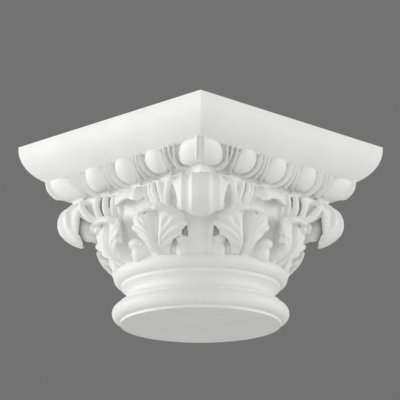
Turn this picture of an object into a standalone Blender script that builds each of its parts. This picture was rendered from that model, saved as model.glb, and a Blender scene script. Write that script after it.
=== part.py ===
"""Column capital with acanthus leaves, cast in one piece of rigid polyurethane foam.

A round moulded neck stands on the column shaft. Above it a bell flares out to a square
fillet, an egg and dart course and a flat-topped square abacus. Eight leaves stand round
the foot of the bell, a large hooded leaf carries each corner of the abacus, and a small
curled leaf stands at the middle of each side. Everything is one casting, so every shape
is joined into one closed body.

Metres, +Z up. The origin is the middle of the underside. The sides of the abacus are
parallel to X and Y, and its corners are on the diagonals.
"""
import math

import bmesh
import bpy
import numpy as np
from mathutils import Matrix

# Neck and bell, metres
DISC_RADIUS = 0.100
NECK_FILLET_RADIUS = 0.1010
LOWER_TORUS_RADIUS = 0.1104
LOWER_TORUS_HALF = 0.0104
LOWER_TORUS_Z = 0.0140
SCOTIA_BOTTOM_Z = 0.0268
SCOTIA_TOP_Z = 0.0458
SCOTIA_DEPTH = 0.0080
UPPER_FILLET_RADIUS = 0.0990
UPPER_TORUS_RADIUS = 0.1087
UPPER_TORUS_HALF = 0.0093
UPPER_TORUS_Z = 0.0590
BELL_FOOT_RADIUS = 0.1000
BELL_TOP_RADIUS = 0.1190

# Abacus and fillet
HEIGHT = 0.2314
ABACUS_HALF = 0.1635
ABACUS_EDGE = 0.0024
ABACUS_OVOLO_DROP = 0.0445
ABACUS_OVOLO_TURN = math.radians(59.8)
FILLET_OUT = 0.0081
FILLET_HEIGHT = 0.0035

# Egg and dart course
COURSE_OUT = 0.0346
COURSE_DROP = 0.0295
COURSE_TURN = math.radians(76)
COURSE_SETBACK = 0.0223
EGGS_PER_SIDE = 3
EGG_DEPTH = 0.0095
EGG_HALF_WIDTH = 0.0163
CORNER_EGG_REACH = 0.0415
FRAME_GAP = 0.0052
FRAME_HALF_WIDTH = 0.0022
DART_HALF_WIDTH = 0.0022
MITRE_RIB_OFFSET = 0.0072
MITRE_RIB_HALF_WIDTH = 0.0024

# Leaves: reach is the furthest radius, half is the widest half-width
LEAF_FOOT_Z = 0.0620
FOOT_LEAF_REACH = 0.1360
FOOT_LEAF_TOP_Z = 0.1190
FOOT_LEAF_FACE_HALF = 0.0300
FOOT_LEAF_CORNER_HALF = 0.0465
FOOT_LEAF_LEAN = 27
FOOT_LEAF_THICKNESS = 0.010
HOOD_INNER = 0.1390
HOOD_REACH = 0.1798
HOOD_DROP = 0.0530
HOOD_HALF = 0.0405
HOOD_LOBE_HALF = 0.0100
HOOD_THICKNESS = 0.008
STEM_REACH = 0.1580
STEM_TOP_HALF = 0.0500
STEM_THICKNESS = 0.026
SIDE_LEAF_FOOT_RADIUS = 0.1050
SIDE_LEAF_FOOT_Z = 0.0800
SIDE_LEAF_REACH = 0.1275
SIDE_LEAF_HALF = 0.0275
SIDE_LEAF_THICKNESS = 0.009
RIB_THICKNESS = 0.0050
BUD_RADIUS = 0.1100
BUD_Z = 0.0835
BUD_HALF = 0.0085
SCROLL_RADIUS = 0.1400
SCROLL_HALF = 0.0150

# Fineness
ROUND_STEPS = 36
CARVING_GRAIN = 0.0015
CARVING_TRIANGLES = 4600
SINK = 0.0010
ROOT_TWO = math.sqrt(2)
SIDES = [0, 90, 180, 270]
CORNERS = [45, 135, 225, 315]

# Sizes that follow from the others
ABACUS_SOFFIT_Z = HEIGHT - ABACUS_EDGE - ABACUS_OVOLO_DROP
FILLET_Z = ABACUS_SOFFIT_Z - COURSE_DROP - FILLET_HEIGHT
HOOD_TIP_Z = FILLET_Z - HOOD_DROP
COURSE_HALF = ABACUS_HALF - COURSE_SETBACK
COURSE_CENTRE = COURSE_HALF - COURSE_OUT
FILLET_HALF = COURSE_CENTRE + FILLET_OUT
EGG_PITCH = 2 * (COURSE_HALF - EGG_HALF_WIDTH / 5) / (EGGS_PER_SIDE + 2)
CORNER_DART = (COURSE_HALF - CORNER_EGG_REACH + EGG_PITCH * (EGGS_PER_SIDE // 2) + EGG_HALF_WIDTH) / 2

for old in list(bpy.data.objects):
    bpy.data.objects.remove(old, do_unlink=True)

parts = bpy.data.collections.new("column_capital")
bpy.context.scene.collection.children.link(parts)
shapes = bpy.data.collections.new("joined_shapes")
bpy.context.scene.collection.children.link(shapes)

foam = bpy.data.materials.new("primed_polyurethane")
foam.use_nodes = True
foam_shader = foam.node_tree.nodes["Principled BSDF"]
foam_shader.inputs["Base Color"].default_value = (0.86, 0.86, 0.85, 1.0)
foam_shader.inputs["Roughness"].default_value = 0.55
foam_shader.inputs["Metallic"].default_value = 0.0


def new_object(name, mesh):
    """Put a mesh in the scene as a shape to be joined."""
    shape = bpy.data.objects.new(name, mesh)
    shapes.objects.link(shape)
    shape.hide_render = True
    shape.display_type = "WIRE"
    return shape


def settled(shape):
    """Apply the shape's modifiers and keep the plain mesh."""
    depsgraph = bpy.context.evaluated_depsgraph_get()
    mesh = bpy.data.meshes.new_from_object(shape.evaluated_get(depsgraph))
    shape.modifiers.clear()
    shape.data = mesh
    return shape


def curve_through(places, t):
    """A smooth curve through the places, read at t from 0 to 1. t may be an array."""
    p = np.array(places, dtype=float)
    if p.ndim == 1:
        p = p[:, None]
    spans = len(p) - 1
    t = np.asarray(t, dtype=float)
    k = np.minimum((t * spans).astype(int), spans - 1)
    f = (t * spans - k)[..., None]
    a = p[np.maximum(k - 1, 0)]
    b = p[k]
    c = p[k + 1]
    d = p[np.minimum(k + 2, spans)]
    bends = (2 * a - 5 * b + 4 * c - d) * f ** 2 + (3 * b - a - 3 * c + d) * f ** 3
    return (2 * b + (c - a) * f + bends) / 2


def bump(x):
    """1 at 0, and smoothly down to 0 at 1 and at -1."""
    return np.clip(1 - x * x, 0, 1) ** 2


def ramp(x, start, end):
    """0 before start, 1 after end, with a soft slope between."""
    t = np.clip((x - start) / (end - start), 0, 1)
    return t * t * (3 - 2 * t)


def half_round(x):
    """The section of a round bead: 1 at 0, and 0 at 1 and at -1."""
    return np.sqrt(np.clip(1 - x * x, 0, 1))


def arc_points(centre, radius, start, end, count):
    """Points on an arc in the plane of radius and height, angles in degrees."""
    angles = np.radians(np.linspace(start, end, count + 1))
    return [(centre[0] + radius * math.cos(a), centre[1] + radius * math.sin(a)) for a in angles]


def turned(name, profile, steps):
    """Turn a profile, listed from top to bottom, about the Z axis."""
    mesh = bpy.data.meshes.new(name)
    edges = [(k, k + 1) for k in range(len(profile) - 1)]
    mesh.from_pydata([(x, 0, z) for x, z in profile], edges, [])
    shape = new_object(name, mesh)
    screw = shape.modifiers.new("turn", "SCREW")
    screw.steps = steps
    screw.render_steps = steps
    screw.use_merge_vertices = True
    screw.merge_threshold = 0.00001
    screw.use_smooth_shade = False
    return settled(shape)


def squared(name, profile):
    """Turn a profile in four steps, so its sides are flat and its corners are mitred."""
    shape = turned(name, [(x * ROOT_TWO, z) for x, z in profile], 4)
    shape.data.transform(Matrix.Rotation(math.radians(45), 4, "Z"))
    return shape


def neck():
    """The round foot: torus, scotia and torus."""
    lower = arc_points((LOWER_TORUS_RADIUS - LOWER_TORUS_HALF, LOWER_TORUS_Z), LOWER_TORUS_HALF, 86, -90, 7)
    upper = arc_points((UPPER_TORUS_RADIUS - UPPER_TORUS_HALF, UPPER_TORUS_Z), UPPER_TORUS_HALF, 88, -90, 6)
    scotia = []
    for share in (0.2, 0.5, 0.8):
        z = SCOTIA_TOP_Z + (SCOTIA_BOTTOM_Z - SCOTIA_TOP_Z) * share
        scotia.append((UPPER_FILLET_RADIUS - SCOTIA_DEPTH * math.sin(math.pi * share), z))
    profile = [(0, UPPER_TORUS_Z + UPPER_TORUS_HALF)] + upper
    profile.append((UPPER_FILLET_RADIUS, SCOTIA_TOP_Z))
    profile += scotia
    profile.append((NECK_FILLET_RADIUS, SCOTIA_BOTTOM_Z))
    profile += lower
    profile += [(DISC_RADIUS, 0), (0, 0)]
    return turned("neck", profile, ROUND_STEPS)


def bell():
    """The flaring body behind the leaves, from inside the torus to inside the fillet."""
    top = FILLET_Z + FILLET_HEIGHT / 2
    profile = [(0, top)]
    for share in (1, 0.85, 0.6, 0.3, 0):
        radius = BELL_FOOT_RADIUS + (BELL_TOP_RADIUS - BELL_FOOT_RADIUS) * share ** 0.85
        profile.append((radius, UPPER_TORUS_Z + (top - UPPER_TORUS_Z) * share))
    profile.append((0, UPPER_TORUS_Z))
    return turned("bell", profile, ROUND_STEPS)


def abacus_and_fillet():
    """The square top: edge, ovolo, soffit, the backing of the course and the fillet."""
    radius = ABACUS_OVOLO_DROP / math.sin(ABACUS_OVOLO_TURN)
    centre = (ABACUS_HALF - radius, HEIGHT - ABACUS_EDGE)
    ovolo = arc_points(centre, radius, 0, -math.degrees(ABACUS_OVOLO_TURN), 9)
    backing = FILLET_HALF - EGG_DEPTH - COURSE_DROP / 4
    profile = [(0, HEIGHT), (ABACUS_HALF, HEIGHT)] + ovolo
    profile += [(backing, ABACUS_SOFFIT_Z), (backing, FILLET_Z + FILLET_HEIGHT)]
    profile += [(FILLET_HALF, FILLET_Z + FILLET_HEIGHT), (FILLET_HALF, FILLET_Z), (0, FILLET_Z)]
    return squared("abacus", profile)


def egg_width(t):
    """Half-width of an egg as a share of its widest, t from 0 at the soffit to 1."""
    upper = half_round(np.clip(0.36 - t, 0, 1) / 0.75)
    lower = np.sqrt(np.clip(1 - (np.clip(t - 0.36, 0, 1) / 0.62) ** 2.6, 0, 1))
    return np.minimum(upper, lower)


def course_relief(along, t):
    """Height above the ground at a distance along the side, t from 0 at the soffit to 1."""
    from_mitre = COURSE_CENTRE + COURSE_OUT * np.cos(t * COURSE_TURN) - np.abs(along)
    full = np.abs(along) < CORNER_DART
    middle = np.clip(np.round(along / EGG_PITCH), -(EGGS_PER_SIDE // 2), EGGS_PER_SIDE // 2) * EGG_PITCH
    across = np.where(full, np.abs(along - middle), from_mitre)
    widest = np.where(full, EGG_HALF_WIDTH, CORNER_EGG_REACH)
    share = np.clip(across / (egg_width(t) * widest + 1e-6), 0, 1)
    egg = EGG_DEPTH * egg_width(t) ** 0.5 * np.sqrt(1 - share ** np.where(full, 2.0, 3.0))
    egg -= np.where(full, 0, 0.22 * EGG_DEPTH * bump(from_mitre / CORNER_EGG_REACH * 1.4))
    frame_line = half_round(np.clip(t - 0.30, 0, 1) / 0.80) * (widest + FRAME_GAP)
    ridge = EGG_DEPTH * 0.98 * half_round((across - frame_line) / FRAME_HALF_WIDTH)
    gap = np.clip(np.floor(np.abs(along) / EGG_PITCH), 0, EGGS_PER_SIDE // 2 - 1)
    dart_spot = np.abs(np.abs(along) - EGG_PITCH * (gap + 0.5))
    dart_spot = np.minimum(dart_spot, np.abs(np.abs(along) - CORNER_DART))
    dart = EGG_DEPTH * 0.98 * half_round(dart_spot / DART_HALF_WIDTH)
    foot = EGG_DEPTH * 0.55 * ramp(t, 0.92, 0.99)
    rib = half_round((from_mitre - MITRE_RIB_OFFSET) / MITRE_RIB_HALF_WIDTH) * (1 - ramp(t, 0.55, 0.68))
    height = np.maximum(np.maximum(egg, ridge), np.maximum(dart, foot))
    return height + np.where(full, 0, 0.3 * EGG_DEPTH * rib)


def course_columns():
    """Distances along one side where the course changes form, from middle to corner."""
    inner = [EGG_HALF_WIDTH * share for share in (0, 0.6, 0.95)]
    frame = [EGG_HALF_WIDTH + FRAME_GAP + FRAME_HALF_WIDTH * k for k in (-1, 0)]
    marks = []
    for egg in range(EGGS_PER_SIDE // 2 + 1):
        centre = egg * EGG_PITCH
        if egg:
            marks += [centre - m for m in reversed(inner[1:] + frame)]
        marks += [centre + m for m in inner + frame]
        marks.append(centre + EGG_PITCH / 2 if egg < EGGS_PER_SIDE // 2 else CORNER_DART)
    reach = [CORNER_EGG_REACH + FRAME_GAP + FRAME_HALF_WIDTH * k for k in (0, -1)]
    reach += [CORNER_EGG_REACH * share for share in (0.95, 0.65, 0.35)]
    reach += [MITRE_RIB_OFFSET + MITRE_RIB_HALF_WIDTH * k for k in (1, 0, -1)]
    reach.append(0)
    marks += [COURSE_HALF - r for r in reach]
    return [-m for m in reversed(marks[1:])] + marks


def egg_and_dart():
    """The carved course: one grid for each side, bent over the ovolo and set out as eggs.

    Its first row is inside the ovolo, and its last two seat it on the fillet in a plain line.
    """
    marks = course_columns()
    shares = (0.012, 0.3, 0.6, 0.85, 1)
    last = len(shares) + 2
    fillet_top = FILLET_Z + FILLET_HEIGHT
    bm = bmesh.new()
    bmesh.ops.create_grid(bm, x_segments=len(marks) - 1, y_segments=last, size=1)
    for vert in bm.verts:
        mark = marks[round((vert.co.x + 1) / 2 * (len(marks) - 1))]
        row = round((1 - vert.co.y) / 2 * last)
        if row >= last - 1:
            half = FILLET_HALF - 3 * SINK
            seat_z = fillet_top + SINK / 2 if row < last else fillet_top - SINK
            vert.co = (mark / COURSE_HALF * half, -half, seat_z)
            continue
        t = shares[max(row - 1, 0)]
        angle = t * COURSE_TURN
        ground_half = COURSE_CENTRE + COURSE_OUT * math.cos(angle)
        along = max(-ground_half, min(ground_half, mark))
        raised = float(course_relief(np.array(along), np.array(t))) - EGG_DEPTH
        half = COURSE_CENTRE + (COURSE_OUT + raised) * math.cos(angle)
        z = max(ABACUS_SOFFIT_Z - (COURSE_DROP + raised) * math.sin(angle), fillet_top)
        if row == 0:
            z = ABACUS_SOFFIT_Z + 4 * SINK
        vert.co = (along / ground_half * half, -half, z)
    bmesh.ops.spin(bm, geom=bm.verts[:] + bm.edges[:] + bm.faces[:], axis=(0, 0, 1), cent=(0, 0, 0),
                   steps=3, angle=math.radians(270), use_duplicate=True)
    bmesh.ops.remove_doubles(bm, verts=bm.verts, dist=0.00002)
    bmesh.ops.holes_fill(bm, edges=[e for e in bm.edges if e.is_boundary])
    bmesh.ops.recalc_face_normals(bm, faces=bm.faces)
    mesh = bpy.data.meshes.new("course")
    bm.to_mesh(mesh)
    bm.free()
    return new_object("course", mesh)


def standing(inner, reach, foot_z, top_z, shares):
    """Places in the plane of radius and height, from shares of a leaf's own box."""
    return [(inner + (reach - inner) * out, foot_z + (top_z - foot_z) * up) for out, up in shares]


def scaled(size, shares):
    return [size * share for share in shares]


def leaf(name, midrib, edge, widths, carving, thickness, grid, bend=2.0, outline=None, flesh=None):
    """A leaf that stands over +X: u runs across from -1 to 1, v runs up from 0 to 1.

    midrib and edge list radius and height, foot first. The sheet runs between them.
    widths is a pair of lists of half-widths for the two sides. carving pushes the sheet
    along its normal, outline trims its width, and flesh is the share of the thickness.
    """
    columns, rows = grid
    u, v = np.meshgrid(np.linspace(-1, 1, columns + 1), np.linspace(0, 1, rows + 1))
    across = u if outline is None else u * outline(u, v)
    towards_edge = np.abs(across)[..., None] ** bend
    stand = curve_through(midrib, v) * (1 - towards_edge) + curve_through(edge, v) * towards_edge
    half = np.where(u < 0, curve_through(widths[0], v)[..., 0], curve_through(widths[1], v)[..., 0])
    angle = across * half / stand[..., 0]
    points = np.stack([stand[..., 0] * np.cos(angle), stand[..., 0] * np.sin(angle), stand[..., 1]], axis=-1)
    normal = np.cross(np.gradient(points, axis=1), np.gradient(points, axis=0))
    normal /= np.linalg.norm(normal, axis=-1, keepdims=True) + 1e-12
    points += normal * carving(u, v)[..., None]

    bm = bmesh.new()
    bmesh.ops.create_grid(bm, x_segments=columns, y_segments=rows, size=1)
    spots = []
    for vert in bm.verts:
        spot = (round((vert.co.y + 1) / 2 * rows), round((vert.co.x + 1) / 2 * columns))
        spots.append(spot)
        vert.co = points[spot]
    mesh = bpy.data.meshes.new(name)
    bm.to_mesh(mesh)
    bm.free()
    shape = new_object(name, mesh)
    thick = shape.modifiers.new("thickness", "SOLIDIFY")
    thick.thickness = thickness
    thick.offset = -1
    if flesh is not None:
        share = flesh(v)
        group = shape.vertex_groups.new(name="flesh")
        for k, spot in enumerate(spots):
            group.add([k], float(share[spot]), "REPLACE")
        thick.vertex_group = "flesh"
    return settled(shape)


def fan(u, v, origin, reach):
    """Angle from the midrib in degrees, and distance, of a place seen from the fan's origin."""
    across = np.abs(u) * reach
    up = v - origin
    return np.degrees(np.arctan2(across, up)), np.hypot(across, up)


def folds(angle, pitch):
    """A row of rounded folds, one for each pitch of the angle: 0 between two folds."""
    return np.abs(np.sin(np.radians(angle * 180 / pitch)))


def foot_leaf():
    """One of the eight leaves at the foot of the bell, its corner side at positive u."""
    box = (BELL_FOOT_RADIUS - 2 * SINK, FOOT_LEAF_REACH, LEAF_FOOT_Z, FOOT_LEAF_TOP_Z)
    midrib = standing(*box, [(0.03, 0.00), (0.32, 0.14), (0.54, 0.32), (0.64, 0.51), (0.67, 0.70),
                             (0.70, 0.88), (0.79, 0.99), (0.93, 1.00), (1.00, 0.91)])
    edge = standing(*box, [(0.00, 0.00), (0.34, 0.12), (0.63, 0.28), (0.84, 0.46), (0.91, 0.61),
                           (0.84, 0.75), (0.74, 0.85), (0.71, 0.89), (0.75, 0.83)])
    face_side = scaled(FOOT_LEAF_FACE_HALF, [0.40, 0.40, 0.45, 0.68, 0.95, 1, 0.93, 0.78, 0.60])
    corner_side = scaled(FOOT_LEAF_CORNER_HALF, [0.28, 0.30, 0.46, 0.90, 1, 0.96, 0.80, 0.60, 0.43])

    def outline(u, v):
        angle, far = fan(u, v, 0.12, 0.62)
        notch = 1 - folds(angle, np.where(u < 0, 13, 17)) ** 0.7
        return 1 - np.where(u < 0, 0.07, 0.10) * notch * ramp(v, 0.2, 0.4)

    def carving(u, v):
        angle, far = fan(u, v, 0.12, 0.62)
        depth = np.where(u < 0, 0.20, 0.36) * ramp(far, 0.14, 0.45) * ramp(np.abs(u), 0.24, 0.44)
        valley = depth * (1 - folds(angle, np.where(u < 0, 13, 17)) ** 0.8)
        groove = 0.70 * bump(u / 0.22) * ramp(v, 0.0, 0.12) * (1 - ramp(v, 0.60, 0.76))
        rolled = 0.22 * bump((u - 0.30) / 0.13) * ramp(v, 0.02, 0.12) * (1 - ramp(v, 0.5, 0.7))
        body = 0.72 * np.sin(np.pi * np.abs(u)) * ramp(v, 0.05, 0.35) * (1 - ramp(v, 0.7, 0.95))
        return FOOT_LEAF_THICKNESS * (body + rolled - groove - valley)

    def flesh(v):
        return 1 - 0.45 * np.clip((v - 0.5) / 0.3, 0, 1)

    return leaf("foot_leaf", midrib, edge, (face_side, corner_side), carving, FOOT_LEAF_THICKNESS,
                (40, 36), 2.0, outline, flesh)


def corner_hood():
    """The outer part of a corner leaf, from its hanging tip up to the fillet's corner."""
    box = (HOOD_INNER, HOOD_REACH, HOOD_TIP_Z, FILLET_Z + SINK / 2)
    midrib = standing(*box, [(0.26, 0.00), (0.62, 0.15), (0.90, 0.31), (1.00, 0.49), (1.00, 0.67),
                             (0.92, 0.80), (0.77, 0.90), (0.59, 0.97), (0.27, 1.00)])
    edge = standing(*box, [(0.18, 0.05), (0.34, 0.13), (0.44, 0.26), (0.46, 0.43), (0.46, 0.62),
                           (0.43, 0.77), (0.34, 0.88), (0.21, 0.94), (0.00, 0.99)])
    widths = scaled(HOOD_HALF, [0.37, 0.59, 0.68, 0.77, 0.84, 0.91, 0.96, 0.99, 1])

    def carving(u, v):
        x = np.abs(u) * curve_through(widths, v)[..., 0] / HOOD_THICKNESS
        lobe = HOOD_LOBE_HALF / HOOD_THICKNESS
        rim_line = curve_through(widths, v)[..., 0] / HOOD_THICKNESS - 0.4
        ridges = 0.12 * bump((x - lobe) / 0.33) + 0.20 * bump((x - 2.25 * lobe) / 0.38)
        flute = 0.32 * bump((x - 1.65 * lobe) / 0.75) * ramp(v, 0.05, 0.3)
        step_back = 0.38 * ramp(x, 2.35 * lobe, 2.65 * lobe) * ramp(v, 0.25, 0.45)
        rim = 0.15 * bump((x - rim_line) / 0.43) * ramp(v, 0.25, 0.45)
        return HOOD_THICKNESS * (ridges - flute - step_back + rim)

    def flesh(v):
        return 0.5 + 0.5 * np.clip(v / 0.5, 0, 1)

    return leaf("corner_hood", midrib, edge, (widths, widths), carving, HOOD_THICKNESS, (56, 36), 1.9,
                None, flesh)


def corner_stem():
    """The stem and broad back of a corner leaf, between the bell and the fillet's corner."""
    box = (BELL_FOOT_RADIUS, STEM_REACH, LEAF_FOOT_Z, FILLET_Z + SINK)
    midrib = standing(*box, [(0.07, 0.00), (0.21, 0.13), (0.28, 0.27), (0.36, 0.41), (0.55, 0.55),
                             (0.72, 0.72), (0.90, 0.87), (1.00, 1.00)])
    edge = standing(*box, [(0.00, 0.00), (0.10, 0.13), (0.14, 0.27), (0.21, 0.41), (0.38, 0.55),
                           (0.57, 0.72), (0.66, 0.87), (0.66, 1.00)])
    widths = scaled(STEM_TOP_HALF, [0.27, 0.27, 0.29, 0.35, 0.54, 0.77, 0.90, 1])

    def carving(u, v):
        return 0.115 * STEM_THICKNESS * bump((np.abs(u) - 0.80) / 0.26) * (1 - ramp(v, 0.45, 0.6))

    return leaf("corner_stem", midrib, edge, (widths, widths), carving, STEM_THICKNESS, (36, 30), 1.6)


def side_leaf():
    """The small curled leaf at the middle of each side, under the fillet."""
    box = (SIDE_LEAF_FOOT_RADIUS, SIDE_LEAF_REACH, SIDE_LEAF_FOOT_Z, FILLET_Z - 5 * SINK)
    midrib = standing(*box, [(0.00, 0.00), (0.13, 0.21), (0.22, 0.42), (0.31, 0.62), (0.40, 0.81),
                             (0.56, 0.95), (0.76, 1.00), (0.96, 0.95), (1.00, 0.86)])
    edge = standing(*box, [(0.00, 0.00), (0.18, 0.21), (0.31, 0.39), (0.44, 0.56), (0.53, 0.71),
                           (0.60, 0.82), (0.69, 0.86), (0.76, 0.84), (0.78, 0.78)])
    widths = scaled(SIDE_LEAF_HALF, [0.55, 0.62, 0.73, 0.85, 0.96, 1, 0.95, 0.80, 0.62])

    def outline(u, v):
        angle, far = fan(u, v, 0.25, 0.6)
        return 1 - 0.14 * (1 - folds(angle, 34) ** 0.7) * ramp(v, 0.25, 0.45)

    def carving(u, v):
        angle, far = fan(u, v, 0.25, 0.6)
        ridge = 0.31 * bump(u / 0.12) * (1 - ramp(v, 0.5, 0.66))
        valley = 0.38 * (1 - folds(angle, 34) ** 0.8) * ramp(far, 0.1, 0.4) * ramp(np.abs(u), 0.15, 0.35)
        return SIDE_LEAF_THICKNESS * (ridge - valley)

    def flesh(v):
        return 1 - 0.45 * np.clip((v - 0.45) / 0.3, 0, 1)

    return leaf("side_leaf", midrib, edge, (widths, widths), carving, SIDE_LEAF_THICKNESS, (34, 32), 2.0,
                outline, flesh)


# Ribs behind the leaves, from below: degrees from the corner, then shares of the way out
# from the bell's foot to the stem's reach and up from the leaves' foot to the fillet. The
# last number is the rib's thickness as a share of RIB_THICKNESS.
RIBS = [([(10.5, 0.69, 0.73), (10.2, 0.88, 0.83), (9.8, 0.86, 0.93), (9.5, 0.76, 0.99)], 0.72),
        ([(14, 0.28, 0.47), (17, 0.48, 0.64), (16.2, 0.76, 0.74),
          (14.3, 0.91, 0.89), (13, 0.86, 0.99)], 1.00),
        ([(15, 0.24, 0.49), (19, 0.45, 0.65), (20, 0.60, 0.78),
          (21, 0.66, 0.91), (22, 0.60, 0.99)], 0.92),
        ([(17, 0.17, 0.49), (22.5, 0.33, 0.65), (24.5, 0.48, 0.78),
          (26, 0.53, 0.91), (26, 0.50, 0.99)], 0.92),
        ([(19, 0.12, 0.49), (26, 0.26, 0.65), (28, 0.36, 0.78),
          (29.5, 0.41, 0.91), (30.5, 0.40, 0.99)], 0.92),
        ([(22, 0.10, 0.51), (30, 0.21, 0.68), (32.5, 0.29, 0.80),
          (34, 0.34, 0.91), (35, 0.34, 0.99)], 0.88)]


def rib(places, radius):
    """A tapered rib through places given as azimuth, share out and share up."""
    spots = []
    for azimuth, out, up in places:
        r = BELL_FOOT_RADIUS + (STEM_REACH - BELL_FOOT_RADIUS) * out
        z = LEAF_FOOT_Z + (FILLET_Z - LEAF_FOOT_Z) * up
        spots.append((r * math.cos(math.radians(azimuth)), r * math.sin(math.radians(azimuth)), z))
    curve = bpy.data.curves.new("rib", "CURVE")
    curve.dimensions = "3D"
    curve.bevel_depth = radius
    curve.bevel_resolution = 2
    curve.use_fill_caps = True
    spline = curve.splines.new("POLY")
    count = 9
    spline.points.add(count - 1)
    for k, point in enumerate(spline.points):
        share = k / (count - 1)
        point.co = (*curve_through(spots, np.array(share)), 1)
        point.radius = 0.7 + 0.3 * math.sin(math.pi * share)
    guide = bpy.data.objects.new("rib", curve)
    shapes.objects.link(guide)
    depsgraph = bpy.context.evaluated_depsgraph_get()
    mesh = bpy.data.meshes.new_from_object(guide.evaluated_get(depsgraph))
    bpy.data.objects.remove(guide, do_unlink=True)
    bm = bmesh.new()
    bm.from_mesh(mesh)
    bmesh.ops.remove_doubles(bm, verts=bm.verts, dist=0.00001)
    bmesh.ops.recalc_face_normals(bm, faces=bm.faces)
    bm.to_mesh(mesh)
    bm.free()
    return new_object("rib", mesh)


def pebble(name, azimuth, radius, z, half, shares):
    """An ellipsoid, its half-widths outward, sideways and up given as shares of one size."""
    bm = bmesh.new()
    bmesh.ops.create_uvsphere(bm, u_segments=16, v_segments=10, radius=1)
    mesh = bpy.data.meshes.new(name)
    bm.to_mesh(mesh)
    bm.free()
    mesh.transform(Matrix.Diagonal((*scaled(half, shares), 1)))
    mesh.transform(Matrix.Translation((radius, 0, z)))
    mesh.transform(Matrix.Rotation(math.radians(azimuth), 4, "Z"))
    return new_object(name, mesh)


def fuse(casting, shape):
    """Join a closed shape to the casting."""
    union = casting.modifiers.new("join", "BOOLEAN")
    union.operation = "UNION"
    union.object = shape
    union.solver = "MANIFOLD"
    settled(casting)
    bpy.data.objects.remove(shape, do_unlink=True)


carvings = []


def set_round(pattern, azimuths, paired=False):
    """Keep copies of the pattern round the axis, and their mirror images if paired."""
    for mirrored in ([False, True] if paired else [False]):
        bm = bmesh.new()
        for azimuth in azimuths:
            mesh = pattern.data.copy()
            if mirrored:
                mesh.transform(Matrix.Scale(-1, 4, (0, 1, 0)))
                mesh.flip_normals()
            mesh.transform(Matrix.Rotation(math.radians(-azimuth if mirrored else azimuth), 4, "Z"))
            bm.from_mesh(mesh)
            bpy.data.meshes.remove(mesh)
        mesh = bpy.data.meshes.new(pattern.name)
        bm.to_mesh(mesh)
        bm.free()
        carvings.append(new_object(pattern.name, mesh))
    bpy.data.objects.remove(pattern, do_unlink=True)


def pinched(mesh):
    """How many edges don't have a face on each side and no more."""
    bm = bmesh.new()
    bm.from_mesh(mesh)
    count = sum(len(edge.link_faces) != 2 for edge in bm.edges)
    bm.free()
    return count


def melted(pieces):
    """Join shapes that overlap into one closed skin, then thin out its faces.

    Thinning can press two walls together along an edge, so it is tried again with a few
    faces less until no edge is pinched.
    """
    bm = bmesh.new()
    for piece in pieces:
        bm.from_mesh(piece.data)
        bpy.data.objects.remove(piece, do_unlink=True)
    mesh = bpy.data.meshes.new("carving")
    bm.to_mesh(mesh)
    bm.free()
    skin = new_object("carving", mesh)
    remesh = skin.modifiers.new("remesh", "REMESH")
    remesh.mode = "VOXEL"
    remesh.voxel_size = CARVING_GRAIN
    settled(skin)
    soften = skin.modifiers.new("soften", "SMOOTH")
    soften.factor = 0.5
    soften.iterations = 2
    settled(skin)
    fine = skin.data
    for tries in range(12):
        skin.data = fine
        fewer = skin.modifiers.new("fewer_faces", "DECIMATE")
        fewer.ratio = (1 - 0.004 * tries) * CARVING_TRIANGLES / (2 * len(fine.polygons))
        settled(skin)
        if not pinched(skin.data):
            break
    print("carving:", len(skin.data.polygons), "triangles,", pinched(skin.data), "pinched edges")
    return skin


def tidy_body(mesh):
    """Split the faces into triangles and drop crumbs cut loose from the one large body."""
    bm = bmesh.new()
    bm.from_mesh(mesh)
    bmesh.ops.triangulate(bm, faces=bm.faces)
    waiting = set(bm.verts)
    bodies = []
    while waiting:
        body = {waiting.pop()}
        edge = list(body)
        while edge:
            near = {link.other_vert(vert) for vert in edge for link in vert.link_edges}
            edge = near & waiting
            waiting -= edge
            body |= edge
        bodies.append(body)
    largest = max(bodies, key=len)
    crumbs = [vert for body in bodies if body is not largest for vert in body]
    bmesh.ops.delete(bm, geom=crumbs, context="VERTS")
    bm.to_mesh(mesh)
    bm.free()


carvings.append(bell())
set_round(corner_stem(), CORNERS)
set_round(corner_hood(), CORNERS)
set_round(side_leaf(), SIDES)
set_round(foot_leaf(), [corner - FOOT_LEAF_LEAN for corner in CORNERS], True)
for rib_places, thickness in RIBS:
    set_round(rib(rib_places, thickness * RIB_THICKNESS), CORNERS, True)
stalk_radius = BUD_RADIUS - BUD_HALF / 2
stalk_z = (LEAF_FOOT_Z + BUD_Z) / 2
scroll_z = (HOOD_TIP_Z + FILLET_Z) / 2 + 2 * SINK
set_round(pebble("corner_bud", 12, BUD_RADIUS - SINK, BUD_Z, BUD_HALF, (1, 0.94, 0.68)), CORNERS, True)
set_round(pebble("corner_stalk", 12, stalk_radius, stalk_z, BUD_HALF, (0.94, 1, 1.3)), CORNERS, True)
set_round(pebble("side_bud", 0, BUD_RADIUS + SINK, BUD_Z, BUD_HALF, (1.06, 1.24, 0.8)), SIDES)
set_round(pebble("side_stalk", 0, stalk_radius + SINK, stalk_z, BUD_HALF, (0.94, 1.06, 1.4)), SIDES)
set_round(pebble("scroll", 0, SCROLL_RADIUS, scroll_z, SCROLL_HALF, (1, 1.1, 1.3)), CORNERS)
set_round(pebble("scroll_eye", 9.5, SCROLL_RADIUS - SCROLL_HALF / 3, scroll_z - SCROLL_HALF / 2, SCROLL_HALF,
                 (0.47, 0.47, 0.5)), CORNERS, True)

capital = neck()
capital.name = "capital"
fuse(capital, melted(carvings))
fuse(capital, abacus_and_fillet())
fuse(capital, egg_and_dart())
tidy_body(capital.data)

shapes.objects.unlink(capital)
parts.objects.link(capital)
capital.hide_render = False
capital.display_type = "TEXTURED"
capital.data.materials.clear()
capital.data.materials.append(foam)
capital.data.shade_smooth()
capital.data.set_sharp_from_angle(angle=math.radians(35))
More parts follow.
